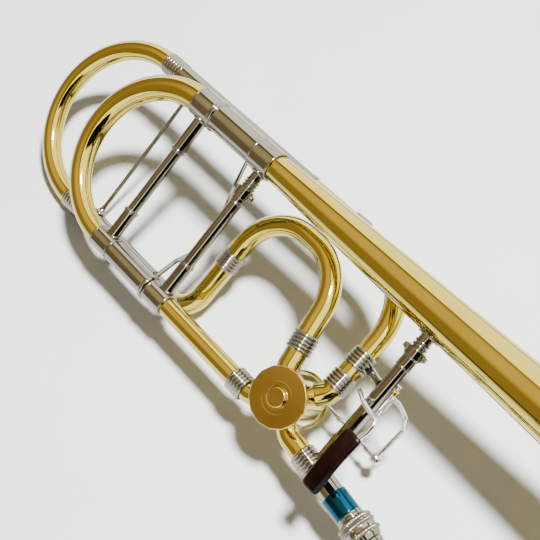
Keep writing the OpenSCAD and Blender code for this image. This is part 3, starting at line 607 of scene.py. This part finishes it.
def make_f_slide():
    middle = Vector((-65.4, (F_HIGH + F_LOW) / 2, F_DEPTH))
    path = u_bend(Vector((-60.5, F_LOW, F_DEPTH)), middle, (F_HIGH - F_LOW) / 2, -ALONG_X,
                  ALONG_Y, 60)
    crook = Shape(BODY)
    crook.tube(path, F_R, WALL)
    crook.piece("f_slide_crook", BRASS, "f_slide", "f_crook")
    rings = Shape(BODY)
    sleeves = Shape(BODY)
    for y, end in ((F_LOW, 56), (F_HIGH, 95)):
        rings.turned(beaded(-67, 14.8, 7.7, 8.1, 8.7, 5), (0, y, F_DEPTH), soften=0)
        sleeves.turned([(-51.7, 7.55), (-51.7, 8.2)] + bead_points(-51.6, 2.4, 8.2, 0.45)
                       + [(-49, 8.12), (end - 4, 8.12)] + bead_points(end - 3.8, 1.3, 8.2, 0.3)
                       + bead_points(end - 1.4, 1.3, 8.2, 0.3) + [(end, 8.2), (end, 7.55)],
                       (0, y, F_DEPTH))
    rings.piece("f_crook_rings", NICKEL, "f_slide", "f_crook_ferrules")
    sleeves.piece("f_slide_sleeves", NICKEL, "bell_section", "f_outer_sleeves")


# ---- slide socket, nut, ring ----

def make_socket():
    shape = Shape(SLIDE)
    shape.turned([(13.1, 7.2), (13.1, 8.3)] + bead_points(13.2, 1.6, 8.3, 0.5)
                 + [(15, 8.15), (49.3, 8.15), (49.4, 9.3), (50.6, 9.4), (50.9, 8.9), (51.3, 8.9),
                    (51.6, 9.4), (52.9, 9.3), (53, 8.2), (69, 8.2), (69, 7.2)])
    shape.piece("socket_tube", NICKEL, "bell_section", "slide_socket")
    ring = Shape(SLIDE)
    ring.turned([(33.4, 8.25), (33.4, 8.6), (33.9, 8.88), (48.7, 8.88), (49.2, 8.6), (49.2, 8.25)])
    ring.piece("blue_band", BLUE, "bell_section", "blue_ring")
    nut = Shape(SLIDE)
    nut.turned([(53.5, 8.3), (53.5, 10.6)] + bead_points(53.7, 2.6, 11.2, 1.1)
               + bead_points(57, 2.6, 11.2, 1.1) + [(60.2, 11.0), (62.4, 11.0)]
               + bead_points(62.8, 2.8, 11.2, 1.1) + [(66.2, 10.8), (69.2, 9.4), (69.4, 8.3)],
               warp=knurled(40, 0.55, 11.1), segments=240)
    nut.piece("lock_nut", NICKEL, "slide_nut", "bell_nut")


# ---- thumb lever ----

def at_hinge(y):
    """A point of the lever's hinge line."""
    return HINGE + Vector((0, y, 0))


def make_lever_wire():
    lever = Shape(BODY)
    lever.turned(ferrule(47.1, 63.3, 1.25, 2.15, 0.25, 1), HINGE, ALONG_Y, 0.15, segments=32)
    route = [at_hinge(49), (226.8, 50, -9.3), (226.8, 53, -1), (239, 52.5, 14.5),
             (255, 52, 25.5), (255.5, 43, 27.2), (252.5, 30, 29.6)]
    lever.tube(rounded(route, [4, 5, 8, 4, 5], 6), 1.7, sides=24)
    lever.piece("lever_wire", CHROME, "trigger", "trigger_lever")


def make_ball_arm():
    ball_r = 3
    arm = Shape(BODY)
    route = [at_hinge(61.2), (248, 61, -14), (256, 57, -17), (258.2, 49.3, -26), BALL]
    arm.tube(rounded(route, [3, 4, 6], 6), 1.6, sides=24)
    arm.turned([(ball_r * math.cos(a), ball_r * math.sin(a))
                for a in (math.pi * k / 16 for k in range(17))],
               BALL, ALONG_Y, soften=0, segments=32)
    arm.piece("ball_arm", STEEL, "trigger", "trigger_arm")


def make_spring():
    coil_r, length, turns, steps = 3.35, 7.1, 9.5, 26
    count = int(turns * steps)
    coil = []
    for k in range(count + 1):
        a = math.tau * k / steps
        coil.append(at_hinge(51.65 + length * k / count)
                    + coil_r * Vector((math.cos(a), 0, math.sin(a))))
    spring = Shape(BODY)
    spring.tube(coil, 0.37, sides=10)
    spring.piece("coil_spring", STEEL, "bell_section", "trigger_spring")


def make_paddle():
    """The thumb's wooden saddle: a rounded bar bent along an arc, with eased ends."""
    radius, half_width, half_thick = 74.5, 6.3, 2.5
    centre = Vector((251.2, 17, 33.6 - 77))
    start, sweep, ease_length = -18, 35, 3.2
    count, around = 56, 48
    rings = []
    for i in range(count + 1):
        t = i / count
        angle = math.radians(start + sweep * t)
        edge = min(t, 1 - t) * math.radians(sweep) * radius
        ease = min(1.0, edge / ease_length)
        close = math.sqrt(max(0.0, 1 - (1 - ease) ** 2))
        out = Vector((0, math.sin(angle), math.cos(angle)))
        wide = half_width * (0.62 + 0.38 * close) if 0 < i < count else 0
        thick = half_thick * (0.35 + 0.65 * close) if 0 < i < count else 0
        ring = []
        for k in range(around):
            a = math.tau * k / around
            c, s = math.cos(a), math.sin(a)
            px = wide * math.copysign(abs(c) ** 0.55, c)
            pz = thick * math.copysign(abs(s) ** 0.7, s)
            ring.append(centre + px * ALONG_X + (radius + pz) * out)
        rings.append(ring)
    paddle = Shape(BODY)
    paddle.loft(rings)
    paddle.piece("thumb_paddle", WOOD, "trigger", "trigger_paddle")


def make_hinge():
    pin = Shape(BODY)
    pin.turned(banded([(43.2, 68, 1.2), (68, 69.2, 1.9), (69.2, 70.4, 2.1)]), HINGE, ALONG_Y,
               0.2, segments=28)
    pin.piece("hinge_rod", STEEL, "bell_section", "hinge_pin")
    posts = Shape(BODY)
    for y in (43.8, 63.6):
        posts.turned([(0, 1.25), (0, 2.7), (0.4, 3.0), (2.6, 3.0), (3, 2.7), (3, 1.25)],
                     at_hinge(y), ALONG_Y, 0.2, segments=40)
        web = []
        for z, half in ((-10.5, 1.5), (-7, 1.7), (-4.5, 2.6), (-3.2, 3.4)):
            x = 241.4 + (z + 10.5) * -0.32
            web.append([Vector((x + half * sx, y + 1.5 + 1.4 * sy, z))
                        for sx, sy in ((-1, -1), (-1, 1), (1, 1), (1, -1))])
        posts.loft(web)
    posts.piece("lever_posts", BRASS, "bell_section", "hinge_posts")


def make_link():
    """The rod from the cup on the lever's ball to the eye beside the rotor arm's pin."""
    pin_r, pin_angle = 8, math.radians(45)
    eye = VALVE + Vector((pin_r * math.cos(pin_angle), pin_r * math.sin(pin_angle), BALL.z))
    along = (eye - BALL).normalized()
    length = (eye - BALL).length
    link = Shape(BODY)
    link.turned(banded([(3.6, 6, 1.9), (6, 10, 2.5), (10, 34, 1.25), (34, 37, 2.5),
                        (37, length - 1, 1.4)]), BALL, along, 0.2, segments=28)
    link.turned([(-1.8, 0), (-1.8, 3.1), (-1.4, 3.4), (1.4, 3.4), (1.8, 3.1), (1.8, 0)], eye,
                ALONG_Z, 0.2, segments=36)
    cup = []
    for r, steps in ((4.35, range(0, 13)), (3.2, range(12, -1, -1))):
        for k in steps:
            a = math.radians(180 - k * 10.5)
            cup.append((r * math.cos(a), r * math.sin(a)))
    link.turned(cup, BALL, (3.5, 12.5, 1), 0.1, segments=36)
    link.piece("link_wire", STEEL, "link", "link_rod")


# ---- hand slide ----

def cross_brace(x, tube_r, r, name, body, nodes):
    """A brace between the two tubes of the hand slide."""
    shape = Shape(SLIDE)
    shape.turned(banded([(4, 13.5, r + 1.6), (13.5, 19, r), (19, 21, r + 1), (21, 67, r),
                         (67, 69, r + 1), (69, 74.5, r), (74.5, 84, r + 1.6)]),
                 (x, 0, 0), (0, 0, 1))
    for z, across in ((0, ALONG_Z), (SLIDE_GAP, -ALONG_Z)):
        add_foot(shape, Vector((x, 0, z)), across, tube_r, 9, 50, 0.8)
    shape.piece(name, NICKEL, body, *nodes)


def make_slide_ends():
    """The tenon that plugs into the bell section, and the mouthpiece receiver beside it."""
    tenon = Shape(SLIDE)
    tenon.turned([(40, 6.2), (40, 7.12), (69.4, 7.12), (69.7, 8.8), (71, 9), (72.5, 8.7),
                  (81, 8.9), (82, 8.9), (82, 7.4), (76, 7.4), (76, 6.2)])
    tenon.piece("tenon_tube", NICKEL, "inner_slide", "slide_tenon")
    receiver = Shape(SLIDE)
    receiver.turned([(67, 6.35), (67, 10.4), (67.6, 11), (69.4, 11), (70.2, 10.3), (72, 9.8),
                     (80, 9.4), (81.9, 9.4), (81.9, 6.2), (79.4, 6.2), (79, 6.35)],
                    (0, 0, SLIDE_GAP))
    receiver.piece("receiver_cup", NICKEL, "inner_slide", "mouthpiece_receiver")


def add_lug(collars):
    """The small lug on a collar that the lock ring turns over."""
    angle = math.radians(-32)
    out = Vector((0, math.cos(angle), math.sin(angle)))
    sideways = ALONG_X.cross(out)
    lug = []
    for x, half, top in ((125.4, 1.1, 10.3), (126, 1.5, 10.7), (129.4, 1.5, 10.7),
                         (130, 1.1, 10.3)):
        centre = Vector((x, 0, SLIDE_GAP))
        lug.append([centre + out * r + sideways * (half * s)
                    for r, s in ((8.6, -1), (top, -1), (top, 1), (8.6, 1))])
    collars.loft(lug, wrap=True)


def make_slide_tubes():
    barrels, inner, outer = Shape(SLIDE), Shape(SLIDE), Shape(SLIDE)
    collars, bow_rings = Shape(SLIDE), Shape(SLIDE)
    for z, start in ((0, 76.2), (SLIDE_GAP, 82.2)):
        at = (0, 0, z)
        barrels.turned([(82, 7.4), (82, 9.5), (83.2, 10.4), (108, 10.4), (108.6, 10.1),
                        (110.6, 10.1), (111.2, 10.4), (122, 10.4), (122, 8.75), (88, 8.75),
                        (88, 7.4)], at)
        inner.turned([(start, 6.9), (start, 7.35), (606, 7.35), (607, 7.52), (726, 7.52),
                      (726, 6.9)], at)
        outer.turned([(92, 7.6), (92, 8.05), (735, 8.05), (735, 7.6)], at, soften=0.12)
        collars.turned(ferrule(123.5, 178, 8.1, 8.95, 0.24, 2), at)
        bow_rings.turned([(731, 8.1), (731, 8.8), (732, 9.2), (759, 9.2), (760, 8.8), (760, 8.3),
                          (735.1, 8.3), (735.1, 8.1)], at)
    add_lug(collars)
    barrels.piece("cork_barrel_tubes", NICKEL, "inner_slide", "cork_barrels")
    inner.piece("inner_slide_tubes", CHROME, "inner_slide", "inner_tubes")
    outer.piece("outer_slide_tubes", BRASS, "outer_slide", "outer_tubes")
    collars.piece("outer_slide_collars", NICKEL, "outer_slide", "outer_collars")
    bow_rings.piece("bow_end_ferrules", NICKEL, "outer_slide", "bow_ferrules")
    cross_brace(96, 10.4, 4.6, "grip_bar", "inner_slide", ["grip_brace"])
    cross_brace(152, 9.0, 4.4, "outer_bar", "outer_slide", ["outer_brace"])


def make_slide_bow():
    reach, bow_r = SLIDE_GAP / 2, 8.2
    bow = Shape(SLIDE)
    bow.tube(u_bend(Vector((735.2, 0, 0)), Vector((BOW_X, 0, reach)), reach, ALONG_X, ALONG_Z, 48),
             bow_r, WALL)
    bow.piece("bow_tube", BRASS, "outer_slide", "slide_bow")
    tip = BOW_X + reach + bow_r
    bumper = Shape(SLIDE)
    bumper.turned([(tip - 2.4, 0), (tip - 2.4, 5.5), (tip + 4, 5.5), (tip + 6, 4.6), (tip + 7, 3),
                   (tip + 7, 0)], (0, 0, reach), soften=0.6)
    bumper.piece("bumper_cap", RUBBER, "outer_slide", "bow_bumper")


# ---- CAD nodes whose shape stays ----

def finish_cad_nodes():
    looks = {"lacquered_brass": BRASS, "nickel_silver": NICKEL, "chrome_plate": CHROME,
             "steel": STEEL, "dark_wood": WOOD, "blue_ring_metal": BLUE, "black_rubber": RUBBER,
             "cork": CORK}
    slots = {s["node"]: s["material_slot"] for s in frame["record"]["subparts"]}
    for name, item in frame["nodes"].items():
        for slot in item.material_slots:
            slot.material = looks[slots[name]]


# ---- table, light and camera ----

# The camera's own axes and place, in the instrument's
RIGHT = Vector((0.6546, 0.6192, -0.4337))
ABOVE = Vector((-0.6259, 0.7656, 0.1484))
BACK = Vector((0.4240, 0.1743, 0.8887))
CAMERA_AT = Vector((407.4, 184, 587.4))


def make_table():
    mesh = bpy.data.meshes.new("table_top")
    work = bmesh.new()
    bmesh.ops.create_grid(work, x_segments=8, y_segments=8, size=4)
    work.to_mesh(mesh)
    work.free()
    mesh.materials.append(TABLE)
    table = bpy.data.objects.new("table_top", mesh)
    table.location.z = cad_box[0][2] - 0.0004
    bpy.context.scene.collection.objects.link(table)


def seen_at(theta, phi):
    """A direction in the room: theta degrees from the lens, phi degrees round from its right."""
    t, p = math.radians(theta), math.radians(phi)
    local = math.sin(t) * (math.cos(p) * RIGHT + math.sin(p) * ABOVE) + math.cos(t) * BACK
    return (BODY.to_3x3() @ local).normalized()


def patch(tree, below, direction, centre, inner, outer, colour):
    """Lays a round patch of colour over the room so far, fading from inner to outer degrees."""
    facing = node(tree, "ShaderNodeVectorMath", operation="DOT_PRODUCT")
    tree.links.new(direction, facing.inputs[0])
    facing.inputs[1].default_value = centre
    mask = node(tree, "ShaderNodeMapRange", interpolation_type="SMOOTHSTEP")
    mask.inputs["From Min"].default_value = math.cos(math.radians(outer))
    mask.inputs["From Max"].default_value = math.cos(math.radians(inner))
    tree.links.new(facing.outputs["Value"], mask.inputs["Value"])
    made = node(tree, "ShaderNodeMixRGB", Color2=(*colour, 1))
    tree.links.new(mask.outputs["Result"], made.inputs["Fac"])
    if isinstance(below, tuple):
        made.inputs["Color1"].default_value = (*below, 1)
    else:
        tree.links.new(below, made.inputs["Color1"])
    return made.outputs["Color"]


# The room that polished metal sees: each patch's centre as degrees from the lens and round from
# its right, the degrees over which it fades, and its colour. Later patches lie over earlier ones.
WALLS = (3.6, 3.5, 3.2)
FIGURE = (0.012, 0.011, 0.009)
ROOM_PATCHES = (
    (95, -38, 30, 58, (0.42, 0.39, 0.27)),    # dim side of the room
    (128, -46, 14, 30, (1.1, 1.05, 0.85)),    # lighter stretch beyond it
    (63, 152, 50, 56, (0.07, 0.06, 0.035)),   # dark edge of the tan board
    (63, 152, 44, 49, (0.56, 0.41, 0.20)),    # tan board
    (46, 128, 8, 34, (1.45, 1.12, 0.60)),     # light on the board
    (31, 52, 7, 13, (8.0, 7.8, 7.2)),         # window
    (14, -75, 12, 15, FIGURE),                # the viewer, from head to legs
    (33, -66, 20, 24, FIGURE),
    (58, -50, 19, 24, (0.02, 0.019, 0.014)),
    (84, -47, 14, 24, (0.09, 0.085, 0.06)))


def make_world():
    """Weak ambient light for everything; what the camera sees in polish is the room instead."""
    world = bpy.data.worlds.new("studio")
    bpy.context.scene.world = world
    world.use_nodes = True
    tree = world.node_tree
    tree.nodes.clear()
    direction = node(tree, "ShaderNodeTexCoord").outputs["Generated"]
    room = WALLS
    for theta, phi, inner, outer, colour in ROOM_PATCHES:
        room = patch(tree, room, direction, seen_at(theta, phi), inner, outer, colour)
    seen = node(tree, "ShaderNodeBackground", Strength=1.0)
    tree.links.new(room, seen.inputs["Color"])
    ambient = node(tree, "ShaderNodeBackground", Strength=1.0, Color=(0.24, 0.225, 0.185, 1))
    path = node(tree, "ShaderNodeLightPath").outputs
    glossy = node(tree, "ShaderNodeMath", operation="SUBTRACT", use_clamp=True)
    tree.links.new(path["Is Glossy Ray"], glossy.inputs[0])
    tree.links.new(path["Diffuse Depth"], glossy.inputs[1])
    mix = node(tree, "ShaderNodeMixShader")
    tree.links.new(glossy.outputs[0], mix.inputs["Fac"])
    tree.links.new(ambient.outputs[0], mix.inputs[1])
    tree.links.new(seen.outputs[0], mix.inputs[2])
    out = node(tree, "ShaderNodeOutputWorld")
    tree.links.new(mix.outputs[0], out.inputs["Surface"])


def make_key_light():
    """One soft round light, high over the middle of the bell section."""
    towards = Vector((0.19, 0.15, 1)).normalized()
    distance = 1.7
    light = bpy.data.lights.new("softbox", "AREA")
    light.shape = "DISK"
    light.size = 0.25
    light.energy = 118
    light.color = (0.985, 0.995, 1.0)
    lamp = bpy.data.objects.new("softbox", light)
    lamp.location = BODY @ Vector((180, 60, 0)) + towards * distance
    lamp.rotation_euler = towards.to_track_quat("Z", "Y").to_euler()
    bpy.context.scene.collection.objects.link(lamp)


def make_camera():
    """Looks down on the valve from the side where the player's head would be."""
    turn = Matrix((RIGHT, ABOVE, BACK)).transposed()
    lens = bpy.data.cameras.new("camera")
    lens.lens = 66.64
    lens.sensor_width = 36
    camera = bpy.data.objects.new("camera", lens)
    rotation = BODY.to_3x3() * (1 / MM) @ turn
    camera.matrix_world = Matrix.LocRotScale(BODY @ CAMERA_AT, rotation.to_quaternion(), None)
    bpy.context.scene.collection.objects.link(camera)
    bpy.context.scene.camera = camera


finish_cad_nodes()
make_bell()
make_bell_side()
make_tuning_slide()
make_front_brace()
make_main_brace()
make_stays()
make_tubing()
make_ringed_ferrules()
make_valve()
make_f_slide()
make_socket()
make_lever_wire()
make_ball_arm()
make_spring()
make_paddle()
make_hinge()
make_link()
make_slide_ends()
make_slide_tubes()
make_slide_bow()
make_table()
make_world()
make_key_light()
make_camera()
